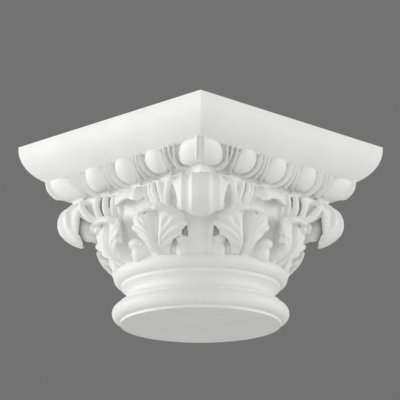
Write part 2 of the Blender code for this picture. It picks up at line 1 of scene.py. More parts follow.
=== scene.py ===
# %% [markdown]
# # A carved column capital, cast in rigid polyurethane foam
# The real object is one white casting that crowns a column. A round moulded neck sits on
# the shaft. Above it a bell flares out to a square top, and leaves stand round the bell.
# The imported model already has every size, so this lesson reads it first, then makes the
# same shapes again with finer carving, and gives them a painted foam finish.

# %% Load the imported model
import math

import bmesh
import bpy
import numpy as np
from mathutils import Matrix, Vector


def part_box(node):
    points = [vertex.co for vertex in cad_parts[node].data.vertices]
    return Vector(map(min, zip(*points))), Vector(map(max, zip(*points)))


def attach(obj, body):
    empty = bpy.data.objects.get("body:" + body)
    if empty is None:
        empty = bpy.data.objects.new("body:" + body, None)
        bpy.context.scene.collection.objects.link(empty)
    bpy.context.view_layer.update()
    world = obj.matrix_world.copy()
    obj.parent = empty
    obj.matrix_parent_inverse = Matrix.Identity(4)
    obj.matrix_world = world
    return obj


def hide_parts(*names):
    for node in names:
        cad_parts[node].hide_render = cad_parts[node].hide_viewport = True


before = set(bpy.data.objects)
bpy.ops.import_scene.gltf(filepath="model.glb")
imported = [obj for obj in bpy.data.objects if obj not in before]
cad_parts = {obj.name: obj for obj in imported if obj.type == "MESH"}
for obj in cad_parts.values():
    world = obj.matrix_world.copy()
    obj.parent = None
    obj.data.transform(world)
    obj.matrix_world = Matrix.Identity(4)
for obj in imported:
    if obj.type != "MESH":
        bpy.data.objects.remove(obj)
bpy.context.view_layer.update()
scene = bpy.context.scene
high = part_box("capital")[1]
HEIGHT = high[2]
ABACUS_HALF = high[0]
print("capital is", round(2 * ABACUS_HALF, 4), "m wide and", round(HEIGHT, 4), "m high")

# %% [markdown]
# ## Camera
# The photograph looks up at the near corner of the top from below, with a long lens. The
# numbers come from a camera fitted to the corners and edges that can be seen. A long lens
# that stands far off keeps the sides of the square top almost parallel, so distance and
# focal length matter as much as direction.

# %% Camera below the near corner
CAMERA_AWAY = 2.8238
CAMERA_HEIGHT = -0.6369
CAMERA_TILT = math.radians(15.8)
eye_data = bpy.data.cameras.new("eye")
eye_data.sensor_width = 36
eye_data.lens = 209.34
eye_data.shift_x = -0.0015
eye = bpy.data.objects.new("eye", eye_data)
scene.collection.objects.link(eye)
eye.location = (CAMERA_AWAY / math.sqrt(2), -CAMERA_AWAY / math.sqrt(2), CAMERA_HEIGHT)
eye.rotation_euler = (math.pi / 2 + CAMERA_TILT, 0, math.radians(45))
scene.camera = eye
print("camera at", [round(x, 3) for x in eye.location])

# %% [markdown]
# ## Studio
# White carving only reads when the light comes mostly from one side. Here that is a large
# soft lamp on the left of the view. A second, weaker lamp lights the right, and a faint one
# beside the camera opens the shadows among the leaves. The pale floor lies below the
# camera, because the camera looks up from under the capital, and it lights the undersides.

# %% Floor and lamps
FLOOR_Z = -0.72
FLOOR_REACH = 6.0
floor_mesh = bpy.data.meshes.new("studio_floor")
floor_corners = [(x * FLOOR_REACH, y * FLOOR_REACH, FLOOR_Z) for x, y in ((-1, -1), (1, -1), (1, 1), (-1, 1))]
floor_mesh.from_pydata(floor_corners, [], [(0, 1, 2, 3)])
studio_floor = bpy.data.objects.new("studio_floor", floor_mesh)
scene.collection.objects.link(studio_floor)

# name: (place, watts, size of the soft box)
LAMPS = {
    "lamp_left": ((-2.5, -2.25, 0.5), 52, 1.5),
    "lamp_right": ((2.3, 2.2, 0.5), 33, 1.8),
    "lamp_front": ((1.6, -2.2, -0.25), 19, 2.0),
}
for name, (place, watts, size) in LAMPS.items():
    lamp_data = bpy.data.lights.new(name, "AREA")
    lamp_data.energy = watts
    lamp_data.size = size
    lamp = bpy.data.objects.new(name, lamp_data)
    scene.collection.objects.link(lamp)
    lamp.location = place
    aim = Matrix.Translation((0, 0, HEIGHT / 2)).translation - lamp.location
    lamp.rotation_euler = aim.to_track_quat("-Z", "Y").to_euler()
print(len(LAMPS), "lamps")

# %% [markdown]
# ## Backdrop
# The photograph has a plain mid grey behind the capital. The world colour does that with
# no wall to model. A Light Path node gives the camera the grey, and gives the capital a
# paler sky to be lit by, as the walls of a white studio would.

# %% Grey backdrop and pale sky
BACKDROP_GREY = 0.168
SKY_GREY = 0.46
world = bpy.data.worlds.new("studio")
scene.world = world
world.use_nodes = True
nodes = world.node_tree.nodes
links = world.node_tree.links
seen = nodes["Background"]
seen.inputs["Color"].default_value = (BACKDROP_GREY, BACKDROP_GREY, BACKDROP_GREY, 1)
sky = nodes.new("ShaderNodeBackground")
sky.inputs["Color"].default_value = (SKY_GREY, SKY_GREY, SKY_GREY, 1)
path = nodes.new("ShaderNodeLightPath")
choose = nodes.new("ShaderNodeMixShader")
links.new(path.outputs["Is Camera Ray"], choose.inputs["Fac"])
links.new(sky.outputs["Background"], choose.inputs[1])
links.new(seen.outputs["Background"], choose.inputs[2])
links.new(choose.outputs["Shader"], nodes["World Output"].inputs["Surface"])
scene.view_settings.view_transform = "Standard"
print("backdrop grey", BACKDROP_GREY)

# %% [markdown]
# ## Finish
# Polyurethane capitals leave the mould with a white primer on them. It is satin, slightly
# uneven where the coat lies thicker, and it has a very fine skin like paper. Three noise
# textures do this: a large one shifts the white a little, a middle one shifts the
# roughness, and a fine one raises the skin with a bump.

# %% Primed foam and floor paint


def paint(name, color, roughness):
    """A material with one Principled shader, and its nodes and links to build on."""
    material = bpy.data.materials.new(name)
    material.use_nodes = True
    shader = material.node_tree.nodes["Principled BSDF"]
    shader.inputs["Base Color"].default_value = (*color, 1)
    shader.inputs["Roughness"].default_value = roughness
    return material, shader


primer, primer_shader = paint("primed_foam", (0.86, 0.86, 0.85), 0.5)
primer_shader.inputs["Specular IOR Level"].default_value = 0.4
nodes = primer.node_tree.nodes
links = primer.node_tree.links
place = nodes.new("ShaderNodeTexCoord")


def noise(scale, detail):
    """A noise texture that is fixed to the object, so it doesn't slide in other views."""
    cloud = nodes.new("ShaderNodeTexNoise")
    cloud.inputs["Scale"].default_value = scale
    cloud.inputs["Detail"].default_value = detail
    links.new(place.outputs["Object"], cloud.inputs["Vector"])
    return cloud


coat = noise(14, 3)
tint = nodes.new("ShaderNodeValToRGB")
tint.color_ramp.elements[0].position = 0.30
tint.color_ramp.elements[0].color = (0.86, 0.86, 0.855, 1)
tint.color_ramp.elements[1].position = 0.70
tint.color_ramp.elements[1].color = (0.91, 0.91, 0.905, 1)
links.new(coat.outputs["Fac"], tint.inputs["Fac"])
links.new(tint.outputs["Color"], primer_shader.inputs["Base Color"])

sheen_patches = noise(60, 2)
rough = nodes.new("ShaderNodeMapRange")
rough.inputs["To Min"].default_value = 0.42
rough.inputs["To Max"].default_value = 0.58
links.new(sheen_patches.outputs["Fac"], rough.inputs["Value"])
links.new(rough.outputs["Result"], primer_shader.inputs["Roughness"])

skin = noise(900, 4)
raise_skin = nodes.new("ShaderNodeBump")
raise_skin.inputs["Strength"].default_value = 0.12
raise_skin.inputs["Distance"].default_value = 0.0002
links.new(skin.outputs["Fac"], raise_skin.inputs["Height"])
links.new(raise_skin.outputs["Normal"], primer_shader.inputs["Normal"])

floor_paint = paint("floor_paint", (0.75, 0.75, 0.74), 0.8)[0]
studio_floor.data.materials.append(floor_paint)
print("materials:", primer.name, floor_paint.name)

# %% [markdown]
# ## Tools for carving
# Carved shapes are easiest to control as numbers. A curve through a few named places
# gives a smooth profile, a bump gives one rounded ridge or groove, and a ramp fades a form
# in or out. All three work on whole arrays, so one line shapes a whole leaf.

# %% Curves, bumps and ramps


def curve_through(places, t):
    """A smooth curve through the places, read at t from 0 to 1."""
    p = np.array(places, dtype=float)
    if p.ndim == 1:
        p = p[:, None]
    spans = len(p) - 1
    t = np.asarray(t, dtype=float)
    k = np.minimum((t * spans).astype(int), spans - 1)
    f = (t * spans - k)[..., None]
    a, b, c, d = p[np.maximum(k - 1, 0)], p[k], p[k + 1], p[np.minimum(k + 2, spans)]
    return (2 * b + (c - a) * f + (2 * a - 5 * b + 4 * c - d) * f ** 2 + (3 * b - a - 3 * c + d) * f ** 3) / 2


def bump(x):
    """1 at 0, and smoothly down to 0 at 1 and at -1."""
    return np.clip(1 - x * x, 0, 1) ** 2


def ramp(x, start, end):
    """0 before start, 1 after end, with a soft slope between."""
    t = np.clip((x - start) / (end - start), 0, 1)
    return t * t * (3 - 2 * t)


def half_round(x):
    """The section of a round bead: 1 at 0, and 0 at 1 and at -1."""
    return np.sqrt(np.clip(1 - x * x, 0, 1))


print("a bump at 0.5 is", round(float(bump(np.array(0.5))), 3))

# %% [markdown]
# ## From numbers to meshes
# Each shape starts as its own object. Modifiers thicken it or turn it, and settled() keeps
# the result as a plain mesh, ready to be copied round the capital.

# %% New pieces and copies round the axis
CORNERS = [45, 135, 225, 315]
SIDES = [0, 90, 180, 270]


def new_piece(name, mesh):
    """Put a mesh in the scene."""
    piece = bpy.data.objects.new(name, mesh)
    scene.collection.objects.link(piece)
    return piece


def settled(piece):
    """Apply the piece's modifiers and keep the plain mesh."""
    depsgraph = bpy.context.evaluated_depsgraph_get()
    mesh = bpy.data.meshes.new_from_object(piece.evaluated_get(depsgraph))
    piece.modifiers.clear()
    piece.data = mesh
    return piece


def copies_round(pattern, azimuths, mirrored=False):
    """The pattern's mesh, copied round the axis, and mirrored first if asked."""
    bm = bmesh.new()
    for azimuth in azimuths:
        mesh = pattern.data.copy()
        if mirrored:
            mesh.transform(Matrix.Scale(-1, 4, (0, 1, 0)))
            mesh.flip_normals()
        mesh.transform(Matrix.Rotation(math.radians(azimuth), 4, "Z"))
        bm.from_mesh(mesh)
        bpy.data.meshes.remove(mesh)
    mesh = bpy.data.meshes.new(pattern.name)
    bm.to_mesh(mesh)
    bm.free()
    return new_piece(pattern.name, mesh)


carvings = []


def set_round(pattern, azimuths, paired=False):
    """Keep a ring of copies for the carving, and their mirror images if they are paired."""
    carvings.append(copies_round(pattern, azimuths))
    if paired:
        carvings.append(copies_round(pattern, [-a for a in azimuths], True))
    bpy.data.objects.remove(pattern, do_unlink=True)


print("corners at", CORNERS, "degrees")

# %% [markdown]
# ## Neck and bell
# The neck is a stack of classical mouldings: a fat half-round torus, a hollow scotia and a
# thinner torus. The foundry turned the pattern on a lathe, so a Screw modifier does the
# same here: it turns one profile, listed from top to bottom, about the upright axis.

# %% Turn the neck and bell
DISC_RADIUS = 0.100
NECK_FILLET_RADIUS = 0.1010
LOWER_TORUS_RADIUS, LOWER_TORUS_Z, LOWER_TORUS_HALF = 0.1104, 0.0140, 0.0104
SCOTIA_BOTTOM_Z, SCOTIA_TOP_Z, SCOTIA_DEPTH = 0.0268, 0.0458, 0.0080
UPPER_FILLET_RADIUS = 0.0990
UPPER_TORUS_RADIUS, UPPER_TORUS_Z, UPPER_TORUS_HALF = 0.1087, 0.0590, 0.0093
BELL_FOOT_RADIUS, BELL_TOP_RADIUS, BELL_FLARE = 0.1000, 0.1190, 0.85
FILLET_HALF, FILLET_Z, FILLET_HEIGHT = 0.1147, 0.1515, 0.0035
LEAF_FOOT_Z = 0.0620
LATHE_STEPS = 144


def arc(centre, radius, start, end, count):
    """Points on an arc in the plane of radius and height, angles in degrees."""
    angles = np.radians(np.linspace(start, end, count + 1))
    return [(centre[0] + radius * math.cos(a), centre[1] + radius * math.sin(a)) for a in angles]


def turned(name, profile, steps):
    """Turn a profile, listed from top to bottom, about the Z axis."""
    mesh = bpy.data.meshes.new(name)
    mesh.from_pydata([(x, 0, z) for x, z in profile], [(k, k + 1) for k in range(len(profile) - 1)], [])
    piece = new_piece(name, mesh)
    screw = piece.modifiers.new("turn", "SCREW")
    screw.steps = steps
    screw.render_steps = steps
    screw.use_merge_vertices = True
    screw.merge_threshold = 0.00001
    return settled(piece)


bell_top = FILLET_Z + FILLET_HEIGHT / 2
profile = [(0, bell_top)]
for share in np.linspace(1, 0, 12):
    radius = BELL_FOOT_RADIUS + (BELL_TOP_RADIUS - BELL_FOOT_RADIUS) * share ** BELL_FLARE
    profile.append((radius, UPPER_TORUS_Z + (bell_top - UPPER_TORUS_Z) * share))
carvings.append(turned("bell", profile + [(0, UPPER_TORUS_Z)], LATHE_STEPS))

profile = [(0, UPPER_TORUS_Z + UPPER_TORUS_HALF)]
profile += arc((UPPER_TORUS_RADIUS - UPPER_TORUS_HALF, UPPER_TORUS_Z), UPPER_TORUS_HALF, 88, -90, 14)
profile.append((UPPER_FILLET_RADIUS, SCOTIA_TOP_Z))
for share in np.linspace(0.08, 0.92, 11):
    z = SCOTIA_TOP_Z + (SCOTIA_BOTTOM_Z - SCOTIA_TOP_Z) * share
    profile.append((UPPER_FILLET_RADIUS - SCOTIA_DEPTH * math.sin(math.pi * share), z))
profile.append((NECK_FILLET_RADIUS, SCOTIA_BOTTOM_Z))
profile += arc((LOWER_TORUS_RADIUS - LOWER_TORUS_HALF, LOWER_TORUS_Z), LOWER_TORUS_HALF, 86, -90, 16)
profile += [(DISC_RADIUS, 0), (0, 0)]
carved_capital = turned("carved_capital", profile, LATHE_STEPS)
print("neck and bell:", len(carved_capital.data.polygons), "faces")

# %% [markdown]
# ## Abacus
# The square top is called the abacus. Its edge rolls in under itself as a wide quarter
# round. The same Screw modifier makes it in only four steps, so the sides come out flat
# with a mitre at each corner, and a turn of 45 degrees lines them up with the column.

# %% Square top and fillet
ABACUS_EDGE = 0.0024
ABACUS_OVOLO_RADIUS = 0.0515
ABACUS_SOFFIT_Z = 0.1845
COURSE_BACKING = 0.0977

edge_z = HEIGHT - ABACUS_EDGE
ovolo_turn = math.degrees(math.asin((edge_z - ABACUS_SOFFIT_Z) / ABACUS_OVOLO_RADIUS))
profile = [(0, HEIGHT), (ABACUS_HALF, HEIGHT)]
profile += arc((ABACUS_HALF - ABACUS_OVOLO_RADIUS, edge_z), ABACUS_OVOLO_RADIUS, 0, -ovolo_turn, 24)
profile += [(COURSE_BACKING, ABACUS_SOFFIT_Z), (COURSE_BACKING, FILLET_Z + FILLET_HEIGHT)]
profile += [(FILLET_HALF, FILLET_Z + FILLET_HEIGHT), (FILLET_HALF, FILLET_Z), (0, FILLET_Z)]
abacus = turned("abacus", [(x * math.sqrt(2), z) for x, z in profile], 4)
abacus.data.transform(Matrix.Rotation(math.radians(45), 4, "Z"))
print("abacus:", len(abacus.data.polygons), "faces")

# %% [markdown]
# ## Egg and dart
# Under the abacus runs a row of eggs, each in its own curved frame, with a thin dart
# between two frames. At a corner two half eggs meet on the mitre, with two small ribs over
# them. The row could be built from separate eggs, but the real one is a single carved
# surface. So one fine grid for each side is bent over a quarter round, and every point is
# raised by the height of whichever form is highest there.

# %% Relief of the course
COURSE_HALF = 0.1412
COURSE_OUT = 0.0346
COURSE_DROP = 0.0300
COURSE_CENTRE = COURSE_HALF - COURSE_OUT
COURSE_LENGTH = COURSE_DROP * math.radians(75)
EGG_PITCH = 0.0552
EGG_DEPTH = 0.0095
EGG_HALF_WIDTH = 0.0163
EGG_WIDEST = 0.36
CORNER_EGG_REACH = 0.0415
FRAME_GAP = 0.0052
RIDGE_HALF_WIDTH = 0.0021
RIDGE_SHARE = 0.98
HOLE_RADIUS = 0.0028
MITRE_RIB_OUT, MITRE_RIB_OFFSET = 0.0032, 0.0072
CORNER_DART = (COURSE_HALF - CORNER_EGG_REACH + EGG_PITCH + EGG_HALF_WIDTH) / 2


def egg_width(t):
    """Half-width of an egg as a share of its widest, t from 0 at the soffit to 1."""
    upper = half_round(np.clip(EGG_WIDEST - t, 0, 1) / 0.75)
    lower = np.sqrt(np.clip(1 - (np.clip(t - EGG_WIDEST, 0, 1) / 0.62) ** 2.6, 0, 1))
    return np.minimum(upper, lower)


def frame_line(t, widest):
    """Distance from the middle of an egg to the ridge that frames it."""
    return half_round(np.clip(t - 0.30, 0, 1) / 0.80) * (widest + FRAME_GAP)


def course_relief(along, t):
    """Height above the ground at a distance along the side, t from 0 at the soffit to 1."""
    half = COURSE_CENTRE + COURSE_OUT * np.cos(t * COURSE_LENGTH / COURSE_DROP)
    from_mitre = half - np.abs(along)
    full = np.abs(along) < CORNER_DART
    nearest_egg = np.clip(np.round(along / EGG_PITCH), -1, 1) * EGG_PITCH
    across = np.where(full, np.abs(along - nearest_egg), from_mitre)
    widest = np.where(full, EGG_HALF_WIDTH, CORNER_EGG_REACH)
    share = np.clip(across / (egg_width(t) * widest + 1e-6), 0, 1)
    egg = EGG_DEPTH * egg_width(t) ** 0.5 * np.sqrt(1 - share ** np.where(full, 2.0, 3.0))
    egg -= np.where(full, 0, 0.22 * EGG_DEPTH * bump(from_mitre / 0.030))
    line = frame_line(t, widest)
    lean = (frame_line(t + 0.01, widest) - line) / (0.01 * COURSE_LENGTH)
    ridge = EGG_DEPTH * RIDGE_SHARE * half_round((across - line) / np.hypot(1, lean) / RIDGE_HALF_WIDTH)
    dart_spot = np.minimum(np.abs(np.abs(along) - EGG_PITCH / 2), np.abs(np.abs(along) - CORNER_DART))
    dart = EGG_DEPTH * RIDGE_SHARE * half_round(dart_spot / (RIDGE_HALF_WIDTH - 0.0004 * t))
    foot = EGG_DEPTH * 0.55 * ramp(t, 0.92, 0.99)
    hole = EGG_DEPTH * 0.5 * bump(dart_spot / HOLE_RADIUS) * bump((t - 0.955) / 0.05)
    mitre_rib = MITRE_RIB_OUT * half_round((from_mitre - MITRE_RIB_OFFSET) / (0.0026 - 0.0012 * t))
    mitre_rib = mitre_rib * (1 - ramp(t, 0.55, 0.68))
    height = np.maximum(np.maximum(egg, ridge), np.maximum(dart, foot))
    return height + np.where(full, 0, mitre_rib) - hole


# %% Bend the course and turn it round the four sides


def egg_course(columns, rows):
    """One grid a side, then three turned copies, welded at the mitres and closed."""
    fillet_top = FILLET_Z + FILLET_HEIGHT
    bm = bmesh.new()
    last = rows + 2
    bmesh.ops.create_grid(bm, x_segments=columns, y_segments=last, size=1)
    for vert in bm.verts:
        share = vert.co.x
        row = round((1 - vert.co.y) / 2 * last)
        if row == last:
            half = FILLET_HALF - 0.001
            vert.co = (share * half, -half, fillet_top - 0.001)
            continue
        t = max(row - 1, 0) / rows
        angle = t * COURSE_LENGTH / COURSE_DROP
        ground_half = COURSE_CENTRE + COURSE_OUT * math.cos(angle)
        raised = float(course_relief(np.array(share * ground_half), np.array(t))) - EGG_DEPTH
        half = COURSE_CENTRE + (COURSE_OUT + raised) * math.cos(angle)
        z = max(ABACUS_SOFFIT_Z - (COURSE_DROP + raised) * math.sin(angle), fillet_top - 0.0005)
        vert.co = (share * half, -half, z if row else ABACUS_SOFFIT_Z + 0.004)
    bmesh.ops.spin(bm, geom=bm.verts[:] + bm.edges[:] + bm.faces[:], axis=(0, 0, 1), cent=(0, 0, 0),
                   steps=3, angle=math.radians(270), use_duplicate=True)
    bmesh.ops.remove_doubles(bm, verts=bm.verts, dist=0.00002)
    bmesh.ops.holes_fill(bm, edges=[e for e in bm.edges if e.is_boundary])
    bmesh.ops.recalc_face_normals(bm, faces=bm.faces)
    mesh = bpy.data.meshes.new("course")
    bm.to_mesh(mesh)
    bm.free()
    return new_piece("course", mesh)


course = egg_course(260, 26)
print("egg and dart:", len(course.data.polygons), "faces")

# %% [markdown]
# ## How a leaf is made
# A carved leaf is a bent sheet with thickness. Two curves say how it stands, both in the
# plane of radius and height: one for the midrib and one for the edge. The sheet runs
# between them and wraps round the bell, and a carving function pushes it in and out along
# its own surface for the folds. Solidify then gives it flesh, thinner towards the lip.

# %% Leaf sheets


def leaf(name, midrib, edge, widths, carving, thickness, grid, bend=2.0, outline=None, flesh=None):
    """A leaf that stands over +X: u runs across from -1 to 1, v runs up from 0 to 1.

    midrib and edge list radius and height, foot first. widths lists half-widths the same
    way, or is a pair of lists for the two sides.
    """
    columns, rows = grid
    u, v = np.meshgrid(np.linspace(-1, 1, columns + 1), np.linspace(0, 1, rows + 1))
    across = u if outline is None else u * outline(u, v)
    towards_edge = np.abs(across)[..., None] ** bend
    stand = curve_through(midrib, v) * (1 - towards_edge) + curve_through(edge, v) * towards_edge
    left, right = widths if isinstance(widths, tuple) else (widths, widths)
    half = np.where(u < 0, curve_through(left, v)[..., 0], curve_through(right, v)[..., 0])
    angle = across * half / stand[..., 0]
    points = np.stack([stand[..., 0] * np.cos(angle), stand[..., 0] * np.sin(angle), stand[..., 1]], axis=-1)
    normal = np.cross(np.gradient(points, axis=1), np.gradient(points, axis=0))
    normal /= np.linalg.norm(normal, axis=-1, keepdims=True) + 1e-12
    points += normal * carving(u, v)[..., None]

    bm = bmesh.new()
    bmesh.ops.create_grid(bm, x_segments=columns, y_segments=rows, size=1)
    spots = []
    for vert in bm.verts:
        spots.append((round((vert.co.y + 1) / 2 * rows), round((vert.co.x + 1) / 2 * columns)))
        vert.co = points[spots[-1]]
    mesh = bpy.data.meshes.new(name)
    bm.to_mesh(mesh)
    bm.free()
    piece = new_piece(name, mesh)
    thick = piece.modifiers.new("thickness", "SOLIDIFY")
    thick.thickness = thickness
    thick.offset = -1
    if flesh is not None:
        share = flesh(v)
        group = piece.vertex_groups.new(name="flesh")
        for k, spot in enumerate(spots):
            group.add([k], float(share[spot]), "REPLACE")
        thick.vertex_group = "flesh"
    return settled(piece)


def fan(u, v, origin, reach):
    """Angle from the midrib in degrees, and distance, of a place seen from the fan's origin."""
    across = np.abs(u) * reach
    up = v - origin
    return np.degrees(np.arctan2(across, up)), np.hypot(across, up)


def pleats(angle, pitch):
    """Rounded folds across a fan, one each pitch: 1 on a crest and 0 in a crease."""
    return np.abs(np.sin(np.radians(angle * 180 / pitch)))


print("pleats halfway across a fold:", float(pleats(np.array(5.0), 10)))

# %% [markdown]
# ## Corner hood
# The boldest form is the leaf at each corner. It swells out under the fillet and curls
# forward and down to a broad tip, like a hood. A smooth central lobe lies on top, and
# fluted side lobes step back from it on both sides.

# %% Carve the hood
LOBE_HALF, SIDE_FLUTE, SIDE_RIDGE = 0.0100, 0.0165, 0.0225


def corner_hood():
    """The outer part of a corner leaf, from its hanging tip up to the fillet's corner."""
    midrib = [(0.1495, 0.0985), (0.1645, 0.1066), (0.1755, 0.1150), (0.1798, 0.1245), (0.1798, 0.1345),
              (0.1765, 0.1415), (0.1705, 0.1465), (0.1630, 0.1502), (0.1500, 0.1520)]
    edge = [(0.1475, 0.1030), (0.1535, 0.1065), (0.1570, 0.1125), (0.1580, 0.1215), (0.1580, 0.1315),
            (0.1565, 0.1395), (0.1530, 0.1455), (0.1475, 0.1490), (0.1390, 0.1515)]
    widths = [0.0110, 0.0215, 0.0270, 0.0310, 0.0340, 0.0370, 0.0390, 0.0400, 0.0405]

    def carving(u, v):
        x = np.abs(u) * curve_through(widths, v)[..., 0]
        rim_line = curve_through(widths, v)[..., 0] - 0.0032
        fade = 1 - 0.6 * ramp(v, 0.7, 0.95)
        ridges = 0.0010 * bump((x - LOBE_HALF) / 0.0026) * fade + 0.0018 * bump((x - SIDE_RIDGE) / 0.0030)
        flute = -0.0028 * bump((x - SIDE_FLUTE) / 0.0060) * ramp(v, 0.05, 0.3) * fade
        step_back = -0.0030 * ramp(x, SIDE_RIDGE + 0.001, SIDE_RIDGE + 0.004) * ramp(v, 0.25, 0.45)
        rim = 0.0012 * bump((x - rim_line) / 0.0034) * ramp(v, 0.25, 0.45)
        return ridges + flute + step_back + rim

    def flesh(v):
        return 0.5 + 0.5 * np.clip(v / 0.5, 0, 1)

    return leaf("corner_hood", midrib, edge, widths, carving, 0.008, (72, 48), 1.9, None, flesh)


set_round(corner_hood(), CORNERS)
print("hood:", len(carvings[-1].data.polygons), "faces")

# %% [markdown]
# ## Corner stem
# Each hood grows from a stout stem with a rolled rim on both sides. Above, the stem opens
# out into the broad back of the leaf and fills the space between the bell and the corner.

# %% Carve the stem


def corner_stem():
    """The stem of a corner leaf, from the torus up to the fillet."""
    midrib = [(0.104, LEAF_FOOT_Z), (0.112, 0.074), (0.116, 0.086), (0.121, 0.099), (0.132, 0.112),
              (0.142, 0.127), (0.152, 0.141), (0.158, 0.1525)]
    edge = [(0.100, LEAF_FOOT_Z), (0.106, 0.074), (0.108, 0.086), (0.112, 0.099), (0.122, 0.112),
            (0.133, 0.127), (0.138, 0.141), (0.138, 0.1525)]
    widths = [0.0135, 0.0135, 0.0145, 0.0175, 0.0270, 0.0385, 0.0450, 0.0500]

    def carving(u, v):
        return 0.0042 * bump((np.abs(u) - 0.82) / 0.20) * (1 - ramp(v, 0.45, 0.6))

    return leaf("corner_stem", midrib, edge, widths, carving, 0.026, (48, 40), 1.6)


set_round(corner_stem(), CORNERS)
print("stem:", len(carvings[-1].data.polygons), "faces")

# %% [markdown]
# ## Side leaf
# At the middle of each side a small broad leaf grows from behind the others and curls
# forward just under the fillet.

# %% Carve the side leaf
SIDE_FAN_ORIGIN, SIDE_FAN_REACH = 0.25, 0.6
SIDE_LEAF_PITCH = 34


def side_leaf():
    """The curled leaf at the middle of each side."""
    midrib = [(0.105, 0.080), (0.108, 0.094), (0.110, 0.108), (0.112, 0.121), (0.114, 0.134),
              (0.1175, 0.1435), (0.122, 0.1465), (0.1265, 0.143), (0.1275, 0.137)]
    edge = [(0.105, 0.080), (0.109, 0.094), (0.112, 0.106), (0.115, 0.117), (0.117, 0.127),
            (0.1185, 0.1345), (0.1205, 0.1375), (0.122, 0.136), (0.1225, 0.132)]
    widths = [0.0150, 0.0170, 0.0200, 0.0235, 0.0265, 0.0275, 0.0260, 0.0220, 0.0170]

    def outline(u, v):
        angle = fan(u, v, SIDE_FAN_ORIGIN, SIDE_FAN_REACH)[0]
        return 1 - 0.14 * (1 - pleats(angle, SIDE_LEAF_PITCH) ** 0.7) * ramp(v, 0.25, 0.45)

    def carving(u, v):
        angle, far = fan(u, v, SIDE_FAN_ORIGIN, SIDE_FAN_REACH)
        folds = pleats(angle, SIDE_LEAF_PITCH)
        rib = 0.0028 * bump(u / 0.12) * (1 - ramp(v, 0.5, 0.66))
        return rib - 0.0034 * (1 - folds ** 0.8) * ramp(far, 0.1, 0.4) * ramp(np.abs(u), 0.15, 0.35)

    def flesh(v):
        return 1 - 0.45 * np.clip((v - 0.45) / 0.3, 0, 1)

    return leaf("side_leaf", midrib, edge, widths, carving, 0.009, (44, 44), 2.0, outline, flesh)


set_round(side_leaf(), SIDES)
print("side leaf:", len(carvings[-1].data.polygons), "faces")

# %% [markdown]
# ## Foot leaf
# Eight leaves stand in a ring on the torus, a left and a right one beside each corner
# stem. They aren't symmetrical. The side towards the middle of the face is a broad scoop
# with small teeth, and the side towards the corner arches over a bud in long flutes.

# %% Carve the foot leaf
FOOT_LEAF_LEAN = 27
FOOT_FAN_ORIGIN, FOOT_FAN_REACH = 0.12, 0.62
FACE_PITCH, CORNER_PITCH = 13, 17


def foot_leaf():
    """One of the eight leaves at the foot of the bell, its corner side at positive u."""
    midrib = [(0.099, LEAF_FOOT_Z), (0.110, 0.070), (0.1185, 0.080), (0.1225, 0.091), (0.1235, 0.102),
              (0.1245, 0.112), (0.1280, 0.1185), (0.1335, 0.1190), (0.1360, 0.1140)]
    edge = [(0.098, LEAF_FOOT_Z), (0.111, 0.069), (0.122, 0.078), (0.1300, 0.088), (0.1325, 0.097),
            (0.1300, 0.105), (0.1260, 0.1105), (0.1250, 0.1125), (0.1265, 0.1095)]
    face_side = [0.0120, 0.0120, 0.0135, 0.0205, 0.0285, 0.0300, 0.0280, 0.0235, 0.0180]
    corner_side = [0.0130, 0.0140, 0.0240, 0.0400, 0.0465, 0.0460, 0.0400, 0.0310, 0.0220]

    def outline(u, v):
        angle = fan(u, v, FOOT_FAN_ORIGIN, FOOT_FAN_REACH)[0]
        notch = 1 - pleats(angle, np.where(u < 0, FACE_PITCH, CORNER_PITCH)) ** 0.7
        return 1 - np.where(u < 0, 0.09, 0.12) * notch * ramp(v, 0.2, 0.4)

    def carving(u, v):
        angle, far = fan(u, v, FOOT_FAN_ORIGIN, FOOT_FAN_REACH)
        folds = pleats(angle, np.where(u < 0, FACE_PITCH, CORNER_PITCH))
        depth = np.where(u < 0, 0.0026, 0.0044) * ramp(far, 0.14, 0.45) * ramp(np.abs(u), 0.24, 0.44)
        groove = -0.0070 * bump(u / 0.22) * ramp(v, 0.0, 0.12) * (1 - ramp(v, 0.60, 0.76))
        rolled = 0.0022 * bump((u - 0.30) / 0.13) * ramp(v, 0.02, 0.12) * (1 - ramp(v, 0.5, 0.7))
        body = 0.0072 * np.sin(np.pi * np.abs(u)) * ramp(v, 0.05, 0.35) * (1 - ramp(v, 0.7, 0.95))
        return groove + rolled + body - depth * (1 - folds ** 0.8)

    def flesh(v):
        return 1 - 0.45 * np.clip((v - 0.5) / 0.3, 0, 1)

    sides = (face_side, corner_side)
    return leaf("foot_leaf", midrib, edge, sides, carving, 0.010, (52, 48), 2.0, outline, flesh)


set_round(foot_leaf(), [c - FOOT_LEAF_LEAN for c in CORNERS], True)
print("foot leaf:", len(carvings[-1].data.polygons), "faces")

# %% [markdown]
# ## Ribs
# Between a hood and the side leaf the wall is filled with slim ribs, the lobes of the
# corner leaf seen from its back. Each one is a curve with a round section that swells in
# the middle, which is the natural way to make anything long and rounded.

